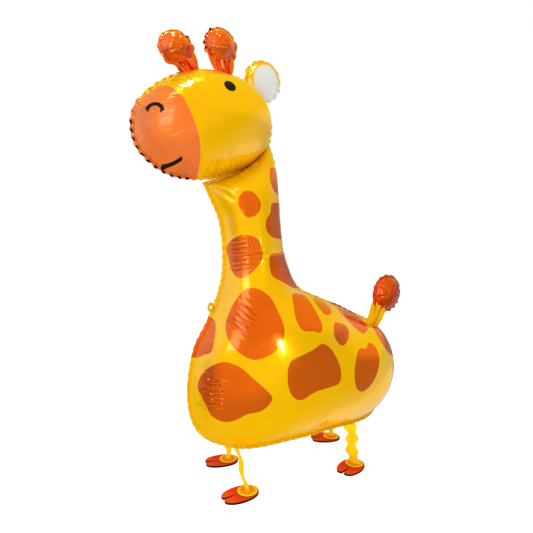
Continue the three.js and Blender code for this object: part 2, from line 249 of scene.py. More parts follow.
def outline_distance(x, z, outline):
    """Distance to a closed outline in the profile plane, negative inside it."""
    best = np.full(x.shape, 1e9)
    inside = np.zeros(x.shape, bool)
    for (ax, az), (bx, bz) in zip(outline, np.roll(outline, -1, axis=0)):
        ex, ez = bx - ax, bz - az
        t = np.clip(((x - ax) * ex + (z - az) * ez) / (ex * ex + ez * ez + 1e-18), 0, 1)
        best = np.minimum(best, np.hypot(x - ax - ex * t, z - az - ez * t))
        crosses = (az > z) != (bz > z)
        inside ^= crosses & (x < ex * (z - az) / (ez if abs(ez) > NOTHING else NOTHING) + ax)
    return np.where(inside, -best, best)


metre_of_seam = seam_puckers(np.linspace(0, 1, 500), 0, 1, 0)
print("deepest seam pucker", round(float(metre_of_seam.max()) / MM, 2), "mm")

# %% [markdown]
# The patches are printed on the flat film before it is welded. Each one is a smooth closed
# curve through a few points. Rather than paint them, every vertex keeps its distance to the
# nearest patch edge: between two vertices that distance changes evenly, so the finish can cut
# it at zero and get a clean edge that is sharper than the mesh.

# %% Patches
patches = [
    # points of each outline in mm, from the throat down and back to the rump
    [(-127, 551), (-120, 563), (-110, 567), (-98, 563), (-88, 551), (-85, 540), (-88, 529),
     (-96, 520), (-107, 516), (-117, 521), (-125, 537)],
    [(-60, 611), (-50, 622), (-25, 610), (-12, 578), (-30, 566), (-52, 573), (-61, 590)],
    [(-61, 543), (-50, 549), (-20, 549), (0, 515), (-20, 480), (-38, 478), (-52, 478),
     (-65, 483), (-74, 496), (-73, 514), (-64, 527)],
    [(-139, 460), (-133, 475), (-122, 482), (-108, 482), (-93, 476), (-84, 461), (-81, 445),
     (-86, 430), (-96, 418), (-107, 407), (-118, 400), (-129, 404), (-134, 417), (-136, 432)],
    [(-67, 441), (-57, 448), (-38, 450), (-5, 455), (20, 420), (30, 384), (6, 378), (-16, 381),
     (-40, 392), (-62, 403), (-67, 417)],
    [(-129, 365), (-114, 380), (-94, 380), (-72, 364), (-59, 335), (-53, 303), (-63, 278),
     (-88, 260), (-114, 254), (-137, 266), (-152, 286), (-154, 311), (-142, 343)],
    [(-168, 322), (-168, 306), (-174, 284), (-180, 266), (-190, 258), (-206, 246), (-225, 246),
     (-225, 290), (-190, 330)],
    [(-200, 211), (-194, 226), (-181, 241), (-161, 250), (-137, 241), (-117, 222), (-100, 206),
     (-83, 187), (-86, 174), (-101, 161), (-125, 156), (-146, 144), (-163, 141), (-180, 149),
     (-189, 165), (-197, 184), (-202, 197)],
    [(-53, 229), (-45, 248), (-20, 257), (5, 265), (26, 273), (46, 261), (59, 237), (63, 214),
     (56, 196), (34, 191), (2, 186), (-26, 174), (-43, 183), (-52, 202)],
    [(-19, 367), (-4, 368), (14, 365), (24, 356), (25, 343), (28, 330), (33, 314), (33, 302),
     (25, 293), (10, 297), (-10, 299), (-20, 307), (-26, 324), (-23, 348)],
    [(43, 356), (57, 356), (68, 348), (74, 341), (77, 334), (72, 327), (61, 324), (49, 325),
     (42, 336), (38, 347)],
    [(105, 334), (120, 345), (150, 338), (178, 318), (174, 300), (172, 291), (164, 284),
     (147, 279), (137, 284), (123, 297), (109, 313), (101, 325)],
    [(67, 307), (81, 307), (95, 302), (104, 292), (100, 279), (87, 267), (75, 264), (64, 273),
     (59, 287)],
    [(94, 207), (104, 235), (120, 254), (138, 252), (150, 262), (165, 253), (166, 231),
     (154, 205), (136, 184), (114, 172), (98, 181)],
    [(193, 289), (212, 293), (240, 280), (238, 245), (222, 228), (203, 235), (196, 243),
     (187, 260), (187, 276)],
]
OUTLINE_POINTS = 72
patch_outlines = [closed_curve(np.array(p) * MM, OUTLINE_POINTS) for p in patches]


def patch_distance(x, z):
    return np.min([outline_distance(x, z, outline) for outline in patch_outlines], axis=0)


print("patches", len(patch_outlines))

# %% [markdown]
# The body starts as a flat grid, just as the film does. One operator makes the grid, each
# vertex then moves to its place on the near side, and the mirror operator adds the far side
# and welds the two along the seams.


# %% From a flat grid to a skin
def grid_skin(points, layers):
    """A bmesh grid whose vertices stand at points (rows, columns, 3), with float layers."""
    rows, columns = points.shape[:2]
    bm = bmesh.new()
    bmesh.ops.create_grid(bm, x_segments=rows - 1, y_segments=columns - 1, size=0.5)
    handles = {name: bm.verts.layers.float.new(name) for name in layers}
    for vert in bm.verts:
        i = round((vert.co.x + 0.5) * (rows - 1))
        j = round((vert.co.y + 0.5) * (columns - 1))
        vert.co = points[i, j]
        for name, handle in handles.items():
            vert[handle] = layers[name][i, j]
    return bm


def weld_far_side(bm):
    """Mirrors the near side, waves the free border that both sides share, and welds them."""
    bmesh.ops.mirror(bm, geom=bm.verts[:] + bm.edges[:] + bm.faces[:], axis="Y",
                     matrix=Matrix.Identity(4), merge_dist=1e-6)
    ruffle = bm.verts.layers.float["ruffle"]
    for vert in bm.verts:
        vert.co.y += vert[ruffle]
    bmesh.ops.remove_doubles(bm, verts=bm.verts[:], dist=2e-5)
    bmesh.ops.dissolve_degenerate(bm, edges=bm.edges[:], dist=1e-6)
    bmesh.ops.recalc_face_normals(bm, faces=bm.faces[:])


def close_tube(bm):
    """Merges the two long edges of a tube grid and fills its ends, of up to 140 sides."""
    bmesh.ops.remove_doubles(bm, verts=bm.verts[:], dist=1e-6)
    bmesh.ops.holes_fill(bm, edges=bm.edges[:], sides=140)
    bmesh.ops.recalc_face_normals(bm, faces=bm.faces[:])


def finished_object(name, bm, material):
    """Smooth shaded object from a bmesh, placed in the scene."""
    mesh = bpy.data.meshes.new(name)
    bm.to_mesh(mesh)
    bm.free()
    mesh.materials.append(material)
    mesh.shade_smooth()
    made = bpy.data.objects.new(name, mesh)
    bpy.context.scene.collection.objects.link(made)
    return made


def finished_piece(name, bm, material, node, slot):
    """Piece from a bmesh that rides on the root and stands for a CAD node."""
    piece = finished_object(name, bm, material)
    mesh = piece.data
    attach(piece, "root")
    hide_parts(node)
    print(name, len(mesh.vertices), "vertices", len(mesh.polygons), "faces")
    return piece

# %% [markdown]
# Shader sums are easier to read as Python than as a web of nodes. One small class wraps a
# socket, so that adding or multiplying two values puts in the Math node for it. The other
# holds the nodes around one shader, of a material here and of the room at the end.


# %% Shader maths
class Amount:
    """A value in a finish. Operators add Math nodes."""

    def __init__(self, finish, socket):
        self.finish, self.socket = finish, socket

    def math(self, operation, *others, clamp=False):
        sockets = dict(enumerate((self, *others)))
        settings = {"operation": operation, "use_clamp": clamp}
        return self.finish.node("ShaderNodeMath", settings, sockets)

    def __add__(self, other): return self.math("ADD", other)
    __radd__ = __add__
    def __mul__(self, other): return self.math("MULTIPLY", other)
    __rmul__ = __mul__
    def __sub__(self, other): return self.math("SUBTRACT", other)
    def __rsub__(self, other): return self.math("MULTIPLY", -1) + other
    def __truediv__(self, other): return self.math("DIVIDE", other)
    def __abs__(self): return self.math("ABSOLUTE")
    def clamp(self): return self.math("ADD", 0, clamp=True)
    def most(self, other): return self.math("MAXIMUM", other)
    def sine(self): return self.math("SINE")
    def root(self): return self.math("SQRT")

    def slope(self, low, high):
        """0 below low, 1 above high, even between them."""
        return ((self - low) * (1 / (high - low))).clamp()

    def step(self, low, high):
        """0 below low, 1 above high, smooth between them. Low may be the higher of the two."""
        settings = {"interpolation_type": "SMOOTHSTEP"}
        sockets = {"Value": self, "From Min": low, "From Max": high}
        return self.finish.node("ShaderNodeMapRange", settings, sockets)

    def inside(self, edge):
        """1 where the value is below zero and 0 above it, smooth over an edge either side."""
        return self.step(edge, -edge)


class Finish:
    """The nodes around the one shader of a material or a world."""

    def __init__(self, owner, shader="Principled BSDF", **constants):
        owner.use_nodes = True
        self.owner, self.tree = owner, owner.node_tree
        self.shader = self.tree.nodes[shader]
        self.feed(**constants)

    def plug(self, socket, value):
        """Links a socket to an amount, or sets it to a plain value."""
        if isinstance(value, Amount):
            self.tree.links.new(value.socket, socket)
        else:
            socket.default_value = value

    def node(self, kind, settings=None, sockets=None, out=0):
        node = self.tree.nodes.new(kind)
        for name, value in (settings or {}).items():
            setattr(node, name, value)
        for name, value in (sockets or {}).items():
            self.plug(node.inputs[name], value)
        return Amount(self, node.outputs[out])

    def attribute(self, name):
        return self.node("ShaderNodeAttribute", {"attribute_name": name}, out="Fac")

    def object_place(self):
        return self.node("ShaderNodeTexCoord", out="Object")

    def uv(self, name):
        return self.axes(self.node("ShaderNodeUVMap", {"uv_map": name}))

    def axes(self, vector):
        split = self.node("ShaderNodeSeparateXYZ", None, {0: vector}).socket.node
        return [Amount(self, output) for output in split.outputs]

    def vector(self, x, y, z):
        return self.node("ShaderNodeCombineXYZ", None, {0: x, 1: y, 2: z})

    def noise(self, vector, scale, detail=2.0):
        sockets = {"Vector": vector, "Scale": scale, "Detail": detail, "Roughness": 0.5}
        return self.node("ShaderNodeTexNoise", None, sockets, out="Fac")

    def mix(self, amount, first, second):
        """Colour mix. Factor, A and B of the colour kind are sockets 0, 6 and 7."""
        sockets = {0: amount, 6: first, 7: second}
        return self.node("ShaderNodeMix", {"data_type": "RGBA"}, sockets, out=2)

    def bump(self, height, distance):
        sockets = {"Height": height, "Distance": distance, "Strength": 1.0}
        return self.node("ShaderNodeBump", None, sockets)

    def feed(self, **inputs):
        for name, value in inputs.items():
            self.plug(self.shader.inputs[name.replace("_", " ")], value)
        return self.owner


def new_finish(name, **constants):
    return Finish(bpy.data.materials.new(name), **constants)


def blended(share, first, second):
    """Number between two, by a share."""
    return first * (1 - share) + second * share


print("finish tools ready")

# %% [markdown]
# The film is metallised polyester printed with see-through inks. Yellow ink hides most of
# the metal, so the yellow stays even, while the orange ink lets the mirror through and goes
# from bright orange to nearly black. A clear top layer adds white reflections to both. The
# finest puckers are streaks, long away from the seam and short along it, and a few bunches of
# sharp creases lie where the photograph shows the film kinked.

# %% Foil finish
INK_YELLOW = (0.93, 0.53, 0.0, 1)
INK_YELLOW_DEEP = (0.88, 0.455, 0.0, 1)
INK_ORANGE = (0.90, 0.165, 0.018, 1)
INK_ORANGE_DEEP = (0.77, 0.105, 0.012, 1)
INK_MUZZLE = (0.98, 0.24, 0.07, 1)
INK_MUZZLE_DEEP = (0.90, 0.185, 0.05, 1)
INK_HORN = (0.92, 0.17, 0.06, 1)
INK_HORN_DEEP = (0.76, 0.05, 0.004, 1)
INK_TAIL = (0.74, 0.085, 0.03, 1)
INK_TAIL_DEEP = (0.50, 0.025, 0.008, 1)
# black of the printed eye, nostril and mouth, and of the painted shade dashes on the welds
BLACK_INK_AND_SHADE = (0.003, 0.003, 0.004, 1)
PEARL = (0.66, 0.66, 0.65, 1)
YELLOW_METAL, ORANGE_METAL, HORN_METAL, MUZZLE_METAL, PEARL_METAL = 0.40, 0.86, 0.95, 0.55, 0.05
YELLOW_ROUGH, ORANGE_ROUGH, MARK_ROUGH = 0.16, 0.15, 0.35
YELLOW_COAT, ORANGE_COAT, MARK_COAT = 0.8, 0.45, 0.1
PATCH_EDGE, MARK_EDGE = 0.5 * MM, 0.3 * MM
STREAK_PITCH, STREAK_REACH = 5.2 * MM, 85 * MM
STREAK_DEPTH, DENT_DEPTH, GRAIN_DEPTH = 0.68 * MM, 2.0 * MM, 0.03 * MM


def crease_relief(finish, x, z, centre, lean, pitch, half_length, half_width, depth):
    """Height of a bunch of sharp creases side by side around a place of the profile plane."""
    ux, uz = math.cos(math.radians(lean)), math.sin(math.radians(lean))
    cx, cz = centre[0] * MM, centre[1] * MM
    along = x * ux + z * uz - (cx * ux + cz * uz)
    beside = z * ux - x * uz - (cz * ux - cx * uz)
    uneven = (finish.noise(finish.vector(beside * 110, 2.0, 0), 1.0, 0.0) - 0.5) * 26 * MM
    ends = (along + uneven).step(-half_length * MM, -0.7 * half_length * MM)
    ends = ends * (along + uneven).step(half_length * MM, 0.1 * half_length * MM)
    ends = ends * abs(beside).step(half_width * MM, 0.8 * half_width * MM)
    wave = abs((beside * (math.pi / (pitch * MM))).sine())
    return (wave.step(0.9, 0.5) * 0.4 - wave.step(0.45, 0.0)) * ends * (depth * MM)


def foil_relief(finish, creases):
    """Height of the film's finest relief: seam streaks, soft dents, a fine grain and creases."""
    run, reach = finish.attribute("seam_run"), finish.attribute("seam_reach")
    pull = finish.attribute("seam_pull")
    place = finish.object_place()
    wander = finish.noise(finish.vector(run * 45, reach * 9, 0), 1.0)
    ridge = abs((run * (math.pi / STREAK_PITCH) + wander * 6).sine())
    length = finish.noise(finish.vector(run * 60, 4.0, 0), 1.0, 1.0) * STREAK_REACH
    near = (1 - reach / ((length + 12 * MM) * (pull * 0.4 + 0.3))).clamp()
    bunch = finish.noise(finish.vector(run * 28, 7.0, 0), 1.0, 1.0).step(0.35, 0.65) * 0.9 + 0.5
    dents, grain = finish.noise(place, 9, 1.0), finish.noise(place, 520)
    relief = ridge * near * pull * bunch * STREAK_DEPTH + dents * DENT_DEPTH + grain * GRAIN_DEPTH
    x, _, z = finish.axes(place)
    wobble = (finish.noise(place, 60, 1.0) - 0.5) * 7 * MM
    for crease in creases:
        relief = relief + crease_relief(finish, x - CENTRE_SHIFT, z + wobble, *crease)
    return relief


def foil(name, marks, inks=(INK_ORANGE, INK_ORANGE_DEEP), orange_metal=ORANGE_METAL, creases=()):
    """Foil finish. marks(finish) gives the share of orange, and rows of other inks and of painted
    shade: how much one covers, its colour and how metallic it is."""
    finish = new_finish(name, Coat_Roughness=0.05, Coat_IOR=1.8, Specular_IOR_Level=0.05)
    place = finish.object_place()
    tone = finish.noise(place, 6)
    yellow = finish.mix(tone.step(0.3, 0.75), INK_YELLOW, INK_YELLOW_DEEP)
    orange = finish.mix(tone.step(0.35, 0.8), *inks)
    share, others = marks(finish)
    colour = finish.mix(share, yellow, orange)
    metal = blended(share, YELLOW_METAL, orange_metal)
    rough = blended(share, YELLOW_ROUGH, ORANGE_ROUGH) + finish.noise(place, 60) * 0.05
    coat = blended(share, YELLOW_COAT, ORANGE_COAT)
    for cover, mark_colour, mark_metal in others:
        colour = finish.mix(cover, colour, mark_colour)
        metal = blended(cover, metal, mark_metal)
        rough = blended(cover, rough, MARK_ROUGH)
        coat = blended(cover, coat, MARK_COAT)
    relief = finish.bump(foil_relief(finish, creases), 1.0)
    return finish.feed(Base_Color=colour, Metallic=metal, Roughness=rough, Coat_Weight=coat,
                       Normal=relief)


def body_marks(finish):
    return finish.attribute("patch").inside(PATCH_EDGE), []


# %% Folds and creases
sharp_folds = [
    # start, end and depth in mm, on chest, breast, neck and rump; the mesh carries half of each
    ((-140, 339), (-98, 304), 2.2), ((-146, 322), (-114, 286), 2.0),
    ((-128, 362), (-90, 328), 1.7), ((-137, 351), (-100, 316), 1.2),
    ((-118, 370), (-84, 336), 1.4), ((-144, 306), (-122, 278), 1.2),
    ((-198, 220), (-160, 208), 1.5), ((-196, 210), (-160, 203), 1.2),
    ((-200, 197), (-161, 195), 1.5), ((-198, 187), (-161, 190), 1.2),
    ((-197, 176), (-162, 181), 1.3), ((-190, 165), (-160, 171), 1.4),
    ((-14, 452), (-66, 447), 2.6), ((-60, 446), (-108, 442), 1.9),
    ((-135, 470), (-96, 474), 1.0), ((-137, 461), (-92, 466), 1.1),
    ((-138, 452), (-88, 457), 1.2), ((-137, 431), (-92, 436), 1.1),
    ((-134, 421), (-95, 427), 1.0), ((176, 300), (118, 324), 3.0),
]
crease_bunches = [
    # centre, lean in degrees, then pitch, half length, half width and depth in mm; the finish
    # carries these
    ((-120, 322), -40, 9.5, 28, 26, 1.2),
    ((-179, 192), -3, 8.5, 24, 30, 2.0),
    ((-115, 443), 6, 8.0, 24, 33, 1.3),
    ((-62, 447), 5, 30.0, 60, 9, 1.1),
]
body_foil = foil("body foil", body_marks, creases=crease_bunches)
print(body_foil.name, len(body_foil.node_tree.nodes), "nodes")

# %% [markdown]
# The body's skin: rows run from the open top of the neck down and back to the rump, and
# columns from the middle of the belly panel out to its seam, round the flank and up to the
# seam of nape and back. Above the chest there is no belly panel, so those columns shut to
# the thin edge of the seam.

# %% Body skin
FLANK_COLUMNS, BELLY_COLUMNS = 92, 9
MIDDLE_COLUMN = FLANK_COLUMNS // 2
TOP_ROWS, MIDDLE_ROWS, END_ROWS = 26, 236, 48
FIRST_ROW, LAST_ROW = 2, -3
top_rows = NECK_TOP_ROUND * (1 - np.cos(np.linspace(0, np.pi / 2, TOP_ROWS)))
end_rows = LAST - RUMP_ROUND * (1 - np.sin(np.linspace(0, np.pi / 2, END_ROWS)))
middle_rows = np.linspace(NECK_TOP_ROUND, LAST - RUMP_ROUND, MIDDLE_ROWS)[1:-1]
place = np.concatenate([[0, 0], top_rows, middle_rows, end_rows, [LAST, LAST]])
across = 0.5 - 0.5 * np.cos(np.pi * np.arange(FLANK_COLUMNS + 1) / FLANK_COLUMNS)

# two rows beyond the neck's top and two beyond the rump are the weld that sticks out there
outset = np.zeros(len(place))
outset[:2] = (SEAM_WIDTH, SEAM_WIDTH / 2)
outset[-2:] = (SEAM_WIDTH / 2, SEAM_WIDTH)
at_top = place == 0
outset_x = np.where(at_top, front_x[0] - front_x[1], 1.0)
outset_z = np.where(at_top, front_z[0] - front_z[1], 0.0)
outset_size = np.hypot(outset_x, outset_z)
outset_x, outset_z = outset * outset_x / outset_size, outset * outset_z / outset_size

P, A = np.meshgrid(place, across, indexing="ij")
flank_x, flank_z = profile_point(P, A)
flank_y = -np.where(outset[:, None] > 0, SEAM_HALF, half_thickness(P, A))
flank_x, flank_z = flank_x + outset_x[:, None], flank_z + outset_z[:, None]
gusset = np.maximum(between(gusset_list, place), 0) * closing(place)
opened = smooth(gusset / GUSSET_BLEND)
flank_y[:, 0] = -(gusset + SEAM_HALF)
flank_y[:, -1] = -SEAM_HALF
chord = np.hypot(flank_x[:, -1] - flank_x[:, 0], flank_z[:, -1] - flank_z[:, 0])
front_run, middle_run, back_run = (
    run_length(flank_x[:, j], flank_z[:, j]) for j in (0, MIDDLE_COLUMN, -1))
print("front seam", round(front_run[-1], 3), "m, back seam", round(back_run[-1], 3), "m")

# %% Body puckers
FRONT_SEED, BACK_SEED, TOP_SEED, END_SEED, BELLY_SEED = 0.4, 1.7, 2.9, 4.1, 6.3
END_STRENGTH = 0.8
front_strength = np.interp(place, [0, 1, 3.2, 4.5, 6, 8, 9.5, 12, 13],
                           [0.5, 0.35, 0.3, 0.8, 1.0, 1.2, 0.8, 0.7, 1.0])
back_strength = np.interp(place, [0, 1, 3, 4.5, 7, 10, 12, 13],
                          [0.5, 0.3, 0.3, 0.25, 0.3, 0.5, 0.8, 1.0])
reach_front, reach_back = A * chord[:, None], (1 - A) * chord[:, None]
reach_top = (middle_run - middle_run[FIRST_ROW])[:, None] + 0 * A
reach_end = (middle_run[LAST_ROW] - middle_run)[:, None] + 0 * A
across_run = reach_front  # the ends are crossed in the same direction
depth = 0
for run, reach, strength, seed in [
        (front_run[:, None], reach_front, front_strength[:, None], FRONT_SEED),
        (back_run[:, None], reach_back, back_strength[:, None], BACK_SEED),
        (across_run, np.maximum(reach_top, 0), END_STRENGTH, TOP_SEED),
        (across_run, np.maximum(reach_end, 0), END_STRENGTH, END_SEED)]:
    depth = depth + seam_puckers(run, reach, strength, seed)

# %% Body folds
soft_folds = [
    # start, end, depth and now and then width in mm: breast, throat, nape and neck
    ((-202, 240), (-184, 228), 1.2), ((-192, 150), (-170, 158), 1.0),
    ((-180, 292), (-172, 283), 1.3), ((-190, 283), (-178, 273), 1.4),
    ((-199, 264), (-186, 255), 1.6), ((-130, 412), (-102, 417), 0.9),
    ((-172, 578), (-128, 545), 3.4, 5.0), ((-62, 612), (-84, 570), 1.6),
    ((-104, 622), (-110, 604), 1.6), ((-88, 632), (-98, 606), 1.8),
    ((-72, 642), (-86, 612), 1.6), ((-124, 612), (-126, 598), 1.3), ((60, 352), (84, 330), 1.2),
    ((-49, 540), (-48, 486), 1.6, 2.6),
]
FOLD_SHARE = 0.5  # of the depths in both lists
for start, end, *shape in soft_folds + sharp_folds:
    depth = depth + FOLD_SHARE * fold_line(flank_x, flank_z, start, end, *shape)
depth = np.where(outset[:, None] > 0, 0, depth)
skin = np.stack([flank_x, flank_y, flank_z], axis=2)
inward = -surface_normal(skin)
inward = inward * np.sign(inward[:, MIDDLE_COLUMN:MIDDLE_COLUMN + 1, 1:2])
edge_calm = np.clip(np.minimum(reach_front, reach_back) / (4 * MM), 0, 1)[:, :, None]
skin = skin + inward * depth[:, :, None] * edge_calm
skin[:, :, 1] = np.minimum(skin[:, :, 1], -0.5 * SEAM_HALF)
print("deepest body pucker", round(float(depth.max()) / MM, 2), "mm")

# %% Seam borders and belly panel
WELD_WIDTH, WELD_SWING = 4.8 * MM, 0.5 * MM
front_normal, back_normal = seam_out(place, 0), seam_out(place, 1)


def rim(column, normal, out, y):
    """One more column of the skin, out from a seam and at a given y."""
    x, z = flank_x[:, column], flank_z[:, column]
    return np.stack([x + normal[0] * out, np.broadcast_to(y, x.shape), z + normal[1] * out], axis=1)


front_out = WELD_WIDTH * (1 - 0.3 * opened) + scallop(front_run, WELD_SWING, FRONT_SEED)
splay = 0.75 * WELD_WIDTH * opened
outer_rim = rim(0, front_normal, front_out, -(gusset + SEAM_HALF + splay))
outer_mid = rim(0, front_normal, front_out / 2, -(gusset + SEAM_HALF + splay / 2))
inner = np.maximum(gusset - SEAM_HALF, 0.5 * SEAM_HALF)
belly, belly_reach = [], []
for share in np.linspace(0, 1, BELLY_COLUMNS):
    belly_reach.append((1 - share) * gusset)
    out = front_out * (1 - opened) + (1 - share ** 2) * BELLY_DROP * opened
    tuck = seam_puckers(front_run, (1 - share) * np.maximum(gusset, 1e-6), 0.8 * opened, BELLY_SEED)
    tuck = tuck * min(1, 6 * share * (1 - share))
    belly.append(rim(0, front_normal, out - tuck, -share * inner))
back_out = WELD_WIDTH + scallop(back_run, WELD_SWING, BACK_SEED)
back = [rim(-1, back_normal, back_out * part, y)
        for part, y in ((0.5, -SEAM_HALF), (1, -SEAM_HALF), (1, 0.0))]
flank = [skin[:, j] for j in range(FLANK_COLUMNS + 1)]
body_points = np.stack(belly + [outer_rim, outer_mid] + flank + back, axis=1)
body_points[[0, -1], :, 1] = 0
patch = patch_distance(body_points[:, :, 0], body_points[:, :, 2])
body_points[:, :, 0] += CENTRE_SHIFT
print("body grid", body_points.shape[0], "rows", body_points.shape[1], "columns")

# %% [markdown]
# The finish draws its finest puckers from three numbers on each vertex: how far along the
# nearest seam it is, how far from it, and how hard that seam pulls. A fourth waves the free
# border from side to side. The run starts again a few metres on at each seam, so that no two
# seams show the same streaks.

# %% Body measures
BACK_RUN_START, TOP_RUN_START = 3, 6
front_pull = np.interp(place, [0, 1, 3.5, 5, 6.5, 8, 10, 13],
                       [0.5, 0.25, 0.2, 0.25, 0.7, 1.1, 0.9, 0.9])
back_pull = np.interp(place, [0, 1, 4, 7, 10, 13], [0.4, 0.25, 0.2, 0.3, 0.6, 1.0])
flank_pull = front_pull[:, None] + (back_pull - front_pull)[:, None] * smooth((A - 0.4) / 0.2)
from_top = np.abs(reach_top)
nearest_front = reach_front <= np.minimum(reach_back, from_top)
nearest_top = from_top < np.minimum(reach_front, reach_back)
flank_run = np.where(nearest_front, front_run[:, None], back_run[:, None] + BACK_RUN_START)
flank_run = np.where(nearest_top, across_run + TOP_RUN_START, flank_run)
flank_reach = np.minimum(np.minimum(reach_front, reach_back), from_top)

zero = np.zeros(len(place))
before, after = BELLY_COLUMNS + 2, 3  # columns of belly panel and seam borders
seam_run = [front_run] * before + [flank_run] + [back_run + BACK_RUN_START] * after
seam_reach = belly_reach + [zero] * 2 + [flank_reach] + [zero] * after
seam_pull = [front_pull] * before + [flank_pull] + [back_pull] * after
seam_run, seam_reach, seam_pull = map(np.column_stack, (seam_run, seam_reach, seam_pull))

out_share = np.zeros_like(seam_run)
out_share[:, :BELLY_COLUMNS + 1] = 1 - opened[:, None]
out_share[:, BELLY_COLUMNS + 1] = (1 - opened) / 2
out_share[:, -3:] = (0.5, 1, 1)
wave = np.sin(2 * np.pi * seam_run / (15 * MM) + 2 * np.sin(seam_run / (40 * MM)))
body_bm = grid_skin(body_points, {
    "seam_run": seam_run, "seam_reach": seam_reach, "seam_pull": seam_pull,
    "patch": patch, "ruffle": 0.9 * MM * out_share * wave,
})
weld_far_side(body_bm)
body = finished_piece("body_skin", body_bm, body_foil, "body_balloon", "body_foil")

# %% [markdown]
# The head is a round pillow with one seam in the profile plane. Its grid is polar: one way
# goes round the outline, the other from the middle of the cheek out to the seam. The ends of
# the grid meet and are merged, and the row at the middle shrinks to one point.

# %% Pillow skins
HEAD_CENTRE = (-0.287, 0.778)
BORDER_PARTS = np.array([0.5, 1, 1])[:, None]
RIM_FACETS, TOP_FACETS = 8, 3
head_outline = [
    (-0.493, 0.757), (-0.471, 0.808), (-0.397, 0.858), (-0.301, 0.889),
    (-0.192, 0.888), (-0.106, 0.863), (-0.065, 0.804), (-0.083, 0.741),
    (-0.154, 0.692), (-0.265, 0.666), (-0.383, 0.664), (-0.469, 0.704),
]


def placed(point):
    """Place in the profile plane from shares of the main sizes."""
    return np.array(point) * (FULL_LENGTH, FULL_HEIGHT)


def facets(u, w, seed):
    """Crumpled relief over a lobe: 1 on its flat top, less down each facet, with sharp valleys."""
    chance = np.random.default_rng(seed)
    slopes = []
    for k in range(RIM_FACETS):
        angle = 2 * np.pi * (k + chance.uniform(-0.4, 0.4)) / RIM_FACETS
        slope, level = chance.uniform(0.6, 1.0), chance.uniform(1.15, 1.55)
        slopes.append(level - slope * (u * np.cos(angle) + w * np.sin(angle)))
    for k in range(TOP_FACETS):
        slopes.append(0.95 + 0.3 * (u * chance.uniform(-1, 1) + w * chance.uniform(-1, 1)))
    lowest, second = np.sort(slopes, axis=0)[:2]
    return lowest - 0.3 * np.exp(-((second - lowest) / 0.06) ** 2)


def pillow_skin(centre, outline, half, rings, strength, seed, pull, measures=None,
                crumple=0.0, stretch=1.0):
    """Puffed lobe with a welded border. measures are named functions of x and z for the finish."""
    loop = np.vstack([outline, outline[:1]])
    arm_x, arm_z = loop[:, 0] - centre[0], loop[:, 1] - centre[1]
    arm = np.hypot(arm_x, arm_z)
    run = run_length(loop[:, 0], loop[:, 1])
    turn = 2 * np.pi * run / run[-1]
    ends = smooth(np.minimum(run, run[-1] - run) / (12 * MM))
    angle = np.linspace(0, np.pi / 2, rings + 1)[:, None]
    share, y = np.sin(angle), np.minimum(-half * np.cos(angle), -SEAM_HALF)
    x, z = centre[0] + arm_x * share, centre[1] + arm_z * share
    reach = (1 - share) * arm
    points = np.stack([x, np.broadcast_to(y, x.shape), z], axis=2)

    depth = seam_puckers(run, reach * stretch, strength, seed) * ends
    size = arm.mean()
    cut = facets(arm_x * share / size, arm_z * share / size, int(seed * 10))
    depth = depth + crumple * (1 - cut) * np.cos(angle)
    inward = -surface_normal(points)
    inward = inward * np.sign(inward[:, :, 1:2] + NOTHING)
    calm = np.clip(reach / (3 * MM), 0, 1)
    points = points + inward * (depth * calm)[:, :, None]
    points[0] = points[0].mean(axis=0)

    out = (SEAM_WIDTH - 0.6 * MM + scallop(run, 1.2 * MM, seed) * ends) / arm
    border = [np.stack([loop[:, 0] + arm_x * out * part, np.full_like(arm, -thin),
                        loop[:, 1] + arm_z * out * part], axis=1)
              for part, thin in ((0.5, SEAM_HALF), (1, SEAM_HALF), (1, 0))]
    points = np.concatenate([points, np.stack(border)], axis=0)
    cycles = np.round(run[-1] / (16 * MM))
    flutter = 1.4 * MM * np.sin(cycles * turn + 1.1 * np.sin(5 * turn + seed)) * ends
    layers = {
        "seam_run": np.broadcast_to(run, points.shape[:2]),
        "seam_reach": np.vstack([reach * stretch, 0 * reach[:3]]),
        "seam_pull": np.broadcast_to(pull * ends, points.shape[:2]),
        "ruffle": np.vstack([0 * reach, BORDER_PARTS * flutter]),
        "border": np.vstack([0 * reach, BORDER_PARTS + 0 * reach[:3]]),
    }
    for name, measure in (measures or {}).items():
        layers[name] = measure(points[:, :, 0], points[:, :, 2])
    points[:, :, 0] += CENTRE_SHIFT
    bm = grid_skin(points, layers)
    bmesh.ops.remove_doubles(bm, verts=bm.verts[:], dist=1e-6)
    weld_far_side(bm)
    return bm


print("head outline", len(head_outline), "points")

# %% [markdown]
# On the head the ink is a rounded muzzle in orange, a black eye, an arched nostril and a
# short mouth. The muzzle's edge comes from a vertex distance, like the patches. The black
# marks are small and crisp, so the finish works them out itself: a disc, and strokes that
# are arcs of a circle cut off by a second disc.

# %% Muzzle, eye, nostril and mouth
MUZZLE_POINTS = 160
muzzle_edge = closed_curve(np.array([
    (-297, 732), (-284, 743), (-270, 743), (-254, 735), (-240, 719), (-230, 701), (-219, 676),
    (-209, 651), (-203, 628), (-200, 606), (-200, 580), (-260, 560), (-350, 600), (-350, 700),
    (-312, 722),
]) * MM, MUZZLE_POINTS)


def muzzle_distance(x, z):
    return outline_distance(x, z, muzzle_edge)


def weld_shade_dashes(finish, pitch, low, high):
    """Painted shade: black dashes on the weld, where its ruffled border turns into shade."""
    wave = (finish.attribute("seam_run") * (2 * math.pi / pitch)).sine()
    return finish.attribute("border").step(0.1, 0.3) * wave.step(low, high)


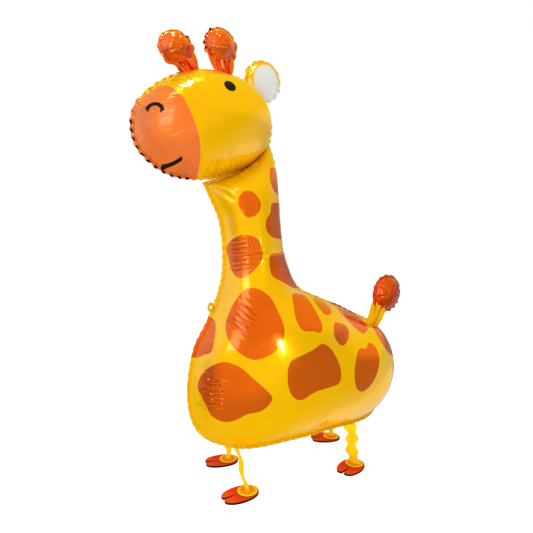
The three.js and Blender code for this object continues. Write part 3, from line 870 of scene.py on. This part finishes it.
def head_marks(finish):
    x, _, z = finish.axes(finish.object_place())

    def disc(cx, cz, radius):
        """Distance out of a disc, all in mm."""
        dx, dz = x - (cx * MM + CENTRE_SHIFT), z - cz * MM
        return (dx * dx + dz * dz).root() - radius * MM

    def stroke(circle, width, cover):
        """Part of a circle's line that lies in a second disc."""
        line = (abs(disc(*circle)) - width * MM).inside(MARK_EDGE)
        return line * disc(*cover).inside(MARK_EDGE)

    # painted shade: black dashes on the weld along the head's lower left, where the ruffled border
    # is shaded
    low_left = (x + z - 385 * MM).inside(4 * MM) * (z - 690 * MM).inside(4 * MM)
    dashes = weld_shade_dashes(finish, 15 * MM, -0.25, 0.1) * low_left
    eye = disc(-151, 751.5, 11.3).inside(MARK_EDGE)
    nostril = stroke((-282, 691, 12), 3.3, (-280, 701, 16))
    mouth = stroke((-261, 647, 41), 3.1, (-248, 609, 16.5))
    muzzle = finish.attribute("muzzle").inside(PATCH_EDGE)
    return muzzle, [((eye + nostril + mouth + dashes).clamp(), BLACK_INK_AND_SHADE, 0.0)]


head_foil = foil("head foil", head_marks, (INK_MUZZLE, INK_MUZZLE_DEEP), MUZZLE_METAL)
print(head_foil.name, len(head_foil.node_tree.nodes), "nodes")

# %% Head skin
HEAD_POINTS, HEAD_RINGS, HEAD_SEED = 380, 60, 0.9
BEHIND_THE_NECK = 7
head_turned = np.roll(np.array(head_outline), -BEHIND_THE_NECK, axis=0)
head_loop = closed_curve(placed(head_turned), HEAD_POINTS)
head_middle = placed(HEAD_CENTRE)
head_ring = np.vstack([head_loop, head_loop[:1]]) - head_middle
to_right = (head_ring[:, 0] * 0.86 + head_ring[:, 1] * 0.5) / np.hypot(*head_ring.T)
head_pull = 1.9 - 1.5 * smooth((to_right + 0.15) / 0.8)
head_bm = pillow_skin(head_middle, head_loop, HEAD_HALF, HEAD_RINGS, 0.32 + 0.6 * head_pull,
                      HEAD_SEED, head_pull, {"muzzle": muzzle_distance})
finished_piece("head_skin", head_bm, head_foil, "head_balloon", "head_foil")

# %% [markdown]
# Horns, ear and tail ball are small lobes of the same film. A small radius makes the film
# crumple instead of pucker, so their creases are deeper and less even. The tail ball's orange
# is deeper than the horns', and the ear is pearl inside.

# %% Small lobes
LOBE_POINTS, LOBE_RINGS = 150, 34
STALK_HALF, STALK_THIN, STALK_GRID = 14 * MM, 9 * MM, (40, 129)


def oval(centre, radii, lean, count):
    turn = np.linspace(0, 2 * np.pi, count, endpoint=False)
    along, side = radii[0] * MM * np.cos(turn), radii[1] * MM * np.sin(turn)
    a = math.radians(lean)
    return centre + np.column_stack([along * math.sin(a) + side * math.cos(a),
                                     along * math.cos(a) - side * math.sin(a)])


def small_lobe(name, centre, radii, half, lean, material, slot, strength, seed, crumple=8.0):
    """Lobe of a balloon. Radii, half thickness and crumple in mm, lean in degrees."""
    middle = placed(centre)
    bm = pillow_skin(middle, oval(middle, radii, lean, LOBE_POINTS), half * MM, LOBE_RINGS,
                     strength, seed, 0.6, crumple=crumple * MM, stretch=2.2)
    finished_piece(name, bm, material, *slot)


def tube_grid(rows, columns):
    """Share along a tube and turn round it, for a grid of points."""
    return np.linspace(0, 1, rows)[:, None], np.linspace(0, 2 * np.pi, columns)[None, :]


def stalk_skin(name, root, tip, material, slot, seed):
    """Crumpled flat tube that widens from a root to a lobe, both as shares of the main sizes."""
    start, end = placed(root), placed(tip)
    length = np.linalg.norm(end - start)
    way = (end - start) / length
    share, turn = tube_grid(*STALK_GRID)
    swell, loose = 0.6 * smooth(share), np.sin(np.pi * share) ** 0.5
    folds = 1 + 0.24 * np.sin(5 * turn + seed + 3 * share) * loose
    folds = folds + 0.12 * np.sin(9 * turn - 7 * share + seed) * loose
    pleats = 0.4 * np.sin(13 * turn + seed + 2 * share) + 0.25 * np.sin(8 * turn - 3 * share)
    side = STALK_HALF * (1 + swell) * folds * np.cos(turn)
    y = STALK_THIN * (1 - swell) * (folds + pleats) * np.sin(turn)
    x = start[0] + (end[0] - start[0]) * share + side * way[1] + CENTRE_SHIFT
    z = start[1] + (end[1] - start[1]) * share - side * way[0]
    bm = grid_skin(np.stack([x, y, z], axis=2), {
        "seam_run": np.broadcast_to(turn * 0.02, y.shape),
        "seam_reach": 0 * y + share * length * 0.3,
        "seam_pull": np.ones_like(y),
    })
    close_tube(bm)
    finished_piece(name, bm, material, *slot)


print("stalks", STALK_HALF / MM, "by", STALK_THIN / MM, "mm")


# %% Horns, tail ball and their stalks
def all_orange(finish):
    """Orange all over, with a few black dashes of painted shade on the weld where the two horns
    face.
    """
    x, _, z = finish.axes(finish.object_place())
    facing = (abs(x + 193 * MM) - 29 * MM).inside(1 * MM) * (848 * MM - z).inside(1 * MM)
    return 1, [(weld_shade_dashes(finish, 9 * MM, 0.0, 0.3) * facing, BLACK_INK_AND_SHADE, 0.0)]


def plain_yellow(finish):
    return 0, []


horn_foil = foil("orange foil", all_orange, (INK_HORN, INK_HORN_DEEP), HORN_METAL)
tail_foil = foil("tail foil", all_orange, (INK_TAIL, INK_TAIL_DEEP), HORN_METAL)
yellow_foil = foil("yellow foil", plain_yellow)
head_slot, body_slot = ("head_balloon", "head_foil"), ("body_balloon", "body_foil")
for name, root, centre, radii, half, lean, film, stalk_film, slot, seed, stalk_seed in [
        ("horn_front", (-0.307, 0.871), (-0.370, 0.929), (30, 29), 24, -38,
         horn_foil, horn_foil, head_slot, 0.3, 0.5),
        ("horn_back", (-0.219, 0.871), (-0.233, 0.956), (32, 29), 24, -4,
         horn_foil, horn_foil, head_slot, 1.9, 2.1),
        ("tail", (0.346, 0.305), (0.430, 0.397), (41, 36), 27, 30,
         tail_foil, yellow_foil, body_slot, 3.3, 4.4)]:
    small_lobe(f"{name}_skin", centre, radii, half, lean, film, slot, 1.3, seed)
    stalk_skin(f"{name}_stalk", root, centre, stalk_film, slot, stalk_seed)


# %% Ear
def ear_marks(finish):
    """The pearl inside of the ear: an oval 31 mm by 37 mm from its middle."""
    x, _, z = finish.axes(finish.object_place())
    dx, dz = (x - (-50 * MM + CENTRE_SHIFT)) / 31, (z - 804 * MM) / 37
    return 0, [(((dx * dx + dz * dz).root() - 1 * MM).inside(0.02 * MM), PEARL, PEARL_METAL)]


ear_foil = foil("ear foil", ear_marks)
small_lobe("ear_skin", (-0.090, 0.897), (40, 35), 15, 20, ear_foil, head_slot, 1.2, 5.2, 3.0)

# %% [markdown]
# Each leg is a strip of crepe paper folded to and fro, so it hangs in soft lobes and turns
# a little. A tube grid with a wavy width gives the lobes; the crepe is in the finish.

# %% Crepe paper
PAPER_YELLOW = (1.0, 0.66, 0.004, 1)
PAPER_GOLD = (0.94, 0.50, 0.004, 1)
PAPER_PALE = (1.0, 0.75, 0.03, 1)
paper = new_finish("crepe paper", Roughness=0.85, Specular_IOR_Level=0.04)
crepe_u, crepe_v, _ = paper.uv("strip")
crepe_lines = paper.noise(paper.vector(crepe_u * 30, crepe_v * 900, 0), 1.0, 3.0)
crepe_folds = paper.noise(paper.vector(crepe_u * 160, crepe_v * 40, 3), 1.0)
paper_tone = paper.mix(crepe_folds.step(0.3, 0.7), PAPER_YELLOW, PAPER_GOLD)
crepe_paper = paper.feed(
    Base_Color=paper.mix(crepe_lines.step(0.45, 0.75), paper_tone, PAPER_PALE),
    Normal=paper.bump(crepe_lines * 0.25 * MM + crepe_folds * 0.9 * MM, 1.0))
print(crepe_paper.name, len(crepe_paper.node_tree.nodes), "nodes")

# %% Printed card
CARD_TOE = (0.86, 0.10, 0.012, 1)
CARD_RED = (0.80, 0.045, 0.004, 1)
CARD_EDGE = (0.018, 0.007, 0.005, 1)
HEEL_YELLOW = (1.0, 0.74, 0.0, 1)
HEEL_TAN = (0.93, 0.32, 0.012, 1)
FOOT_LENGTH, FOOT_WIDTH, FOOT_THICK = 72 * MM, 48 * MM, 4 * MM
CLEFT_LENGTH, CLEFT_WIDTH = 30 * MM, 5 * MM
HEEL_RADIUS, HEEL_RAISE, HEEL_INSET, HEEL_TAN_RADIUS = 19 * MM, 1.2 * MM, 2.5 * MM, 14.5 * MM
HEEL_BACK = FOOT_LENGTH / 2 - HEEL_RADIUS - HEEL_INSET

card = new_finish("printed card", Roughness=0.5, Specular_IOR_Level=0.06)
card_u, card_v, _ = card.uv("sole")
heel_u = card_u - HEEL_BACK
from_heel = (heel_u * heel_u + card_v * card_v).root()
card_grain = card.noise(card.object_place(), 240, 3.0)
from_toe = card_u + 0.5 * FOOT_LENGTH + card_grain * 8 * MM
red = card.mix(from_toe.step(8 * MM, 34 * MM), CARD_TOE, CARD_RED)
heel = card.mix((from_heel - HEEL_TAN_RADIUS).inside(0.4 * MM), HEEL_YELLOW, HEEL_TAN)
top_face = card.mix((from_heel - HEEL_RADIUS).inside(0.2 * MM), red, heel)
up = card.axes(card.node("ShaderNodeNewGeometry", out="Normal"))[2]
printed_card = card.feed(Base_Color=card.mix(up.step(0.5, 0.8), CARD_EDGE, top_face),
                         Normal=card.bump(card_grain, 0.12 * MM))
print(printed_card.name, len(printed_card.node_tree.nodes), "nodes")

# %% Legs
LEG_THIN, LEG_FOLD_DEPTH, LEG_GRID = 3.6 * MM, 0.22, (90, 49)
FOOT_TOP = FOOT_THICK + HEEL_RAISE
legs = {
    # foot and top as shares of length and width, then the foot's heading in degrees,
    # half width in mm, folds, sway in mm, and the way it faces and its twist in degrees
    "front_left": ((-0.206, -0.302), (-0.205, -0.17), 6, 4.2, 2, -5, -30, 100),
    "front_right": ((-0.198, 0.288), (-0.205, 0.17), -8, 6, 3, 3, -24, 80),
    "rear_left": ((0.180, -0.320), (0.183, -0.285), 24, 11.5, 3.5, -5, -40, 40),
    "rear_right": ((0.222, 0.306), (0.265, 0.235), -16, 7, 3, -4, 0, 60),
}


def belly_under(x, y):
    """Height of the film that a leg hangs from, above a place on the floor."""
    stretch = np.linspace(7, LAST, 600)
    seam = np.interp(x, between(front_x, stretch), between(front_z, stretch))
    wide = np.interp(x, between(front_x, stretch), between(gusset_list, stretch))
    share = np.minimum(1, np.abs(y) / wide)
    opened = smooth(wide / GUSSET_BLEND)
    return seam - SEAM_WIDTH * (1 - opened) - (1 - share ** 2) * BELLY_DROP * opened


def on_floor(shares):
    return shares[0] * FULL_LENGTH, shares[1] * BODY_WIDTH


def leg_skin(name, foot, top, heading, half, folds, sway, aim, twist):
    """Folded strip from the heel of a hoof up to the belly."""
    (foot_x, foot_y), (top_x, top_y) = on_floor(foot), on_floor(top)
    heel_x = foot_x + HEEL_BACK * math.cos(math.radians(heading))
    heel_y = foot_y + HEEL_BACK * math.sin(math.radians(heading))
    share, turn = tube_grid(*LEG_GRID)
    swing = sway * MM * np.sin(2 * np.pi * share) * np.sin(np.pi * share)
    x = heel_x + (top_x - heel_x) * smooth(share) + swing
    y = heel_y + (top_y - heel_y) * share
    fold = 1 + LEG_FOLD_DEPTH * np.cos(2 * np.pi * folds * share)
    pleat = 1 + 0.10 * np.sin(7 * turn + 9 * share) + 0.06 * np.sin(11 * turn - 21 * share)
    facing = np.radians(aim + twist * (share - 0.5))
    wide = half * MM * fold * np.cos(turn)
    thin = LEG_THIN * fold * pleat * np.sin(turn)
    strip_x = x + wide * np.cos(facing) - thin * np.sin(facing)
    strip_y = y + wide * np.sin(facing) + thin * np.cos(facing)
    z = FOOT_TOP + (belly_under(strip_x, strip_y) + 1 * MM - FOOT_TOP) * share
    around = turn / (2 * np.pi) * 4 * half * MM + 0 * share
    bm = grid_skin(np.stack([strip_x + CENTRE_SHIFT, strip_y, z], axis=2),
                   {"strip_u": around, "strip_v": z - FOOT_TOP})
    uv = bm.loops.layers.uv.new("strip")
    u, v = bm.verts.layers.float["strip_u"], bm.verts.layers.float["strip_v"]
    for face in bm.faces:
        for loop in face.loops:
            loop[uv].uv = (loop.vert[u], loop.vert[v])
    close_tube(bm)
    finished_piece(f"strip_{name}", bm, crepe_paper, f"leg_{name}", "leg_paper")


print("legs", *legs)

# %% [markdown]
# A hoof is die-cut from thick card: a long oval with a cleft at the toe, and a round heel
# disc glued on top. The outline's curve is filled with one face, pushed up to its thickness
# and its rim bevelled a little. Each strip and its hoof are made together, as they are glued.


# %% Card hooves
def bezier(a, b, c, d):
    """Nine points on a curve from a towards d, without d."""
    t = np.linspace(0, 1, 9, endpoint=False)[:, None]
    a, b, c, d = map(np.array, (a, b, c, d))
    return (1 - t) ** 3 * a + 3 * t * (1 - t) ** 2 * b + 3 * t * t * (1 - t) * c + t ** 3 * d


def hoof_outline():
    side, toe, heel = FOOT_WIDTH / 2, -FOOT_LENGTH / 2, FOOT_LENGTH / 2
    tip, bow = toe + CLEFT_WIDTH * 0.6, toe - CLEFT_WIDTH * 0.6
    toe_round, heel_round = toe + FOOT_WIDTH * 0.25, heel - FOOT_WIDTH * 0.25
    half = CLEFT_WIDTH / 2
    return np.vstack([
        [(toe + CLEFT_LENGTH, 0)],
        bezier((tip, -half), (bow, -side * 0.55), (toe_round, -side), (0, -side)),
        bezier((0, -side), (heel_round, -side), (heel, -side * 0.6), (heel, 0)),
        bezier((heel, 0), (heel, side * 0.6), (heel_round, side), (0, side)),
        bezier((0, side), (toe_round, side), (bow, side * 0.55), (tip, half)),
        [(tip, half)]])


def plate(bm, outline, low, high, soft):
    """Flat plate from low to high, with its upper rim bevelled."""
    face = bm.faces.new([bm.verts.new((x, y, low)) for x, y in outline])
    raised = bmesh.ops.extrude_face_region(bm, geom=[face])
    top = {v for v in raised["geom"] if isinstance(v, bmesh.types.BMVert)}
    bmesh.ops.translate(bm, verts=list(top), vec=(0, 0, high - low))
    edges = [e for e in bm.edges if all(v in top for v in e.verts)]
    bmesh.ops.bevel(bm, geom=edges, offset=soft, affect="EDGES", segments=2, profile=0.5,
                    material=-1)


def hoof(name, foot, heading):
    bm = bmesh.new()
    plate(bm, hoof_outline(), 0, FOOT_THICK, 0.35 * MM)
    turn = np.linspace(0, 2 * np.pi, 48, endpoint=False)
    disc = np.column_stack([HEEL_BACK + HEEL_RADIUS * np.cos(turn), HEEL_RADIUS * np.sin(turn)])
    plate(bm, disc, 0.5 * FOOT_THICK, FOOT_TOP, 0.3 * MM)
    bmesh.ops.recalc_face_normals(bm, faces=bm.faces[:])
    uv = bm.loops.layers.uv.new("sole")
    for face in bm.faces:
        for loop in face.loops:
            loop[uv].uv = loop.vert.co.xy
    turned = Matrix.Rotation(math.radians(heading), 3, "Z")
    bmesh.ops.rotate(bm, verts=bm.verts[:], matrix=turned)
    x, y = on_floor(foot)
    bmesh.ops.translate(bm, verts=bm.verts[:], vec=(x + CENTRE_SHIFT, y, 0))
    piece = finished_piece(f"hoof_{name}", bm, printed_card, f"foot_{name}", "foot_card")
    piece.data.shade_flat()


# %% Legs and hooves in place
for name, leg in legs.items():
    foot, _, heading = leg[:3]
    leg_skin(name, *leg)
    hoof(name, foot, heading)

# %% [markdown]
# The leash tab is a small ring punched from the seam border of the chest.

# %% Leash tab
TAB_STATION = 4.68
TAB_HALF_WIDTH, TAB_HALF_HEIGHT, TAB_HOLE, TAB_THICK = 7 * MM, 10 * MM, 2.6 * MM, 1.2 * MM
tab_place = np.array([TAB_STATION])
tab_root = [float(v[0]) for v in profile_point(tab_place, 0)]
tab_way = [float(v[0]) for v in seam_out(tab_place, 0)]
tab_bm = bmesh.new()
bmesh.ops.create_circle(tab_bm, cap_ends=False, segments=32, radius=1.0)
for vert in tab_bm.verts:
    vert.co = (vert.co.x * TAB_HALF_WIDTH, 0, vert.co.y * TAB_HALF_HEIGHT)
hole = bmesh.ops.create_circle(tab_bm, cap_ends=False, segments=32, radius=TAB_HOLE)
upright = Matrix.Rotation(math.pi / 2, 3, "X")
bmesh.ops.rotate(tab_bm, verts=hole["verts"], matrix=upright)
bmesh.ops.bridge_loops(tab_bm, edges=tab_bm.edges[:])
bmesh.ops.solidify(tab_bm, geom=tab_bm.faces[:], thickness=TAB_THICK)
tab_x, tab_z = (tab_root[k] + TAB_HALF_WIDTH * tab_way[k] for k in (0, 1))
tab_middle = (tab_x + CENTRE_SHIFT, TAB_THICK / 2, tab_z)
bmesh.ops.translate(tab_bm, verts=tab_bm.verts[:], vec=tab_middle)
bmesh.ops.recalc_face_normals(tab_bm, faces=tab_bm.faces[:])
finished_piece("leash_tab_skin", tab_bm, yellow_foil, "body_balloon", "body_foil")

# %% [markdown]
# Foil shows its surroundings more than its own colour, so the room matters as much as the
# ink. The floor is plain and pale, and the foil doesn't mirror it: what it mirrors is worked
# out from the direction alone.

# %% Floor
FLOOR_SIDE = 12.0
FLOOR_GREYS = (0.88, 0.88, 0.88, 1), (0.91, 0.91, 0.91, 1)
WHITE = (1.0, 1.0, 1.0, 1)
floor_bm = bmesh.new()
bmesh.ops.create_grid(floor_bm, x_segments=2, y_segments=2, size=FLOOR_SIDE / 2)
floor_finish = new_finish("pale floor", Roughness=0.9, Specular_IOR_Level=0.0,
                          Emission_Color=WHITE, Emission_Strength=0.7)
floor_tone = floor_finish.noise(floor_finish.object_place(), 3)
floor_paint = floor_finish.mix(floor_tone, *FLOOR_GREYS)
floor = finished_object("floor", floor_bm, floor_finish.feed(Base_Color=floor_paint))
floor.visible_glossy = False
print(floor.name, FLOOR_SIDE, "m square")

# %% [markdown]
# The room is a world whose brightness depends on where a ray goes. Three soft walls of light,
# in front on the left, behind and above, give the film its pale areas. The side to the right
# of the camera stays dim, so the orange patches that face it go dark. Two small bright zones
# pale the throat and the rear of the flank, and a small dark one deepens the breast's patch.

# %% Zones of the room
world = bpy.data.worlds.new("studio")
bpy.context.scene.world = world
room = Finish(world, "Background")
way_x, way_y, way_z = room.axes(room.node("ShaderNodeTexCoord", out="Generated"))


def toward(*aim):
    """How far a direction of the room points along the aim, from -1 to 1."""
    x, y, z = Vector(aim).normalized()
    return way_x * x + way_y * y + way_z * z


front_left = toward(-0.45, -0.85, 0.35).slope(0.25, 0.8) * 0.9
backdrop = toward(-0.12, 0.9, 0.2).slope(0.3, 0.75) * 0.85
ceiling = toward(0, 0, 1).slope(0.12, 0.42) * 0.92
ground = toward(0, 0, -1).slope(0.0, 0.3) * (toward(-1, -0.4, 0) * 0.18 + 0.48)
right_side = toward(0.6, -0.8, 0).slope(0.2, 0.9) * 0.13 + 0.32
pale_front = toward(-0.95, 0.2, 0.3).slope(0.8, 0.87) * 0.8
pale_corner = toward(0.8, 0.0, -0.6).slope(0.82, 0.9) * 0.7
dark_front = toward(-0.97, -0.05, -0.27).slope(0.92, 0.98) * 0.65
mirrored = right_side
for zone in (front_left, backdrop, ceiling, ground, pale_front, pale_corner):
    mirrored = mirrored.most(zone)
mirrored = mirrored * (1 - dark_front)
print("room", len(world.node_tree.nodes), "nodes")

# %% [markdown]
# Only mirrored rays see those zones. Soft light comes from a plainer room, a little brighter
# in front on the left, and the camera sees white. Where the film isn't pale it mirrors a warm
# tone, which keeps the yellow ink rich.

# %% Light of the room
WARM = (1.0, 0.8, 0.06, 1)
mirror_ray = room.node("ShaderNodeLightPath", out="Is Glossy Ray")
camera_ray = room.node("ShaderNodeLightPath", out="Is Camera Ray")
diffuse = toward(-0.5, -0.6, 0.5) * 0.16 + 0.70
level = room.node("ShaderNodeMix", None, {0: mirror_ray, 2: diffuse, 3: mirrored})
pale_side = toward(0.9, 0.1, -0.35).slope(0.55, 0.78)
warmth = room.mix(pale_side.most(pale_front), WARM, WHITE)
room.feed(Strength=level.most(camera_ray), Color=room.mix(mirror_ray, WHITE, warmth))
print("world", world.name)

# %% [markdown]
# Three lamps stand in this room: one above, one large and weak on the left, and a tall narrow
# one that shines on the body alone and draws the upright highlight on its flank.


# %% Lamps
def soft_light(name, place, aim, size, power, shine=1.0):
    """Rectangular lamp. Places and sizes in m, power in W, shine is its share in reflections."""
    data = bpy.data.lights.new(name, "AREA")
    data.shape, data.size, data.size_y, data.energy = "RECTANGLE", size[0], size[1], power
    data.specular_factor = shine
    lamp = bpy.data.objects.new(name, data)
    lamp.location = place
    lamp.rotation_euler = (Vector(aim) - Vector(place)).to_track_quat("-Z", "Y").to_euler()
    bpy.context.scene.collection.objects.link(lamp)
    return lamp


soft_light("top light", (-0.60, -0.35, 2.5), (-0.1, 0, 0.5), (0.28, 0.22), 11)
soft_light("left light", (-1.6, -1.5, 1.2), (0, 0, 0.5), (0.8, 1.2), 4.5, 0.1)
strip = soft_light("strip light", (0.30, -1.65, 0.5), (-0.055, -0.11, 0.24), (0.05, 0.26), 0.011)
strip.data.spread = math.radians(10)
flank_only = bpy.data.collections.new("lit by the strip")
flank_only.objects.link(body)
strip.light_linking.receiver_collection = flank_only
print("lamps", len(bpy.data.lights))
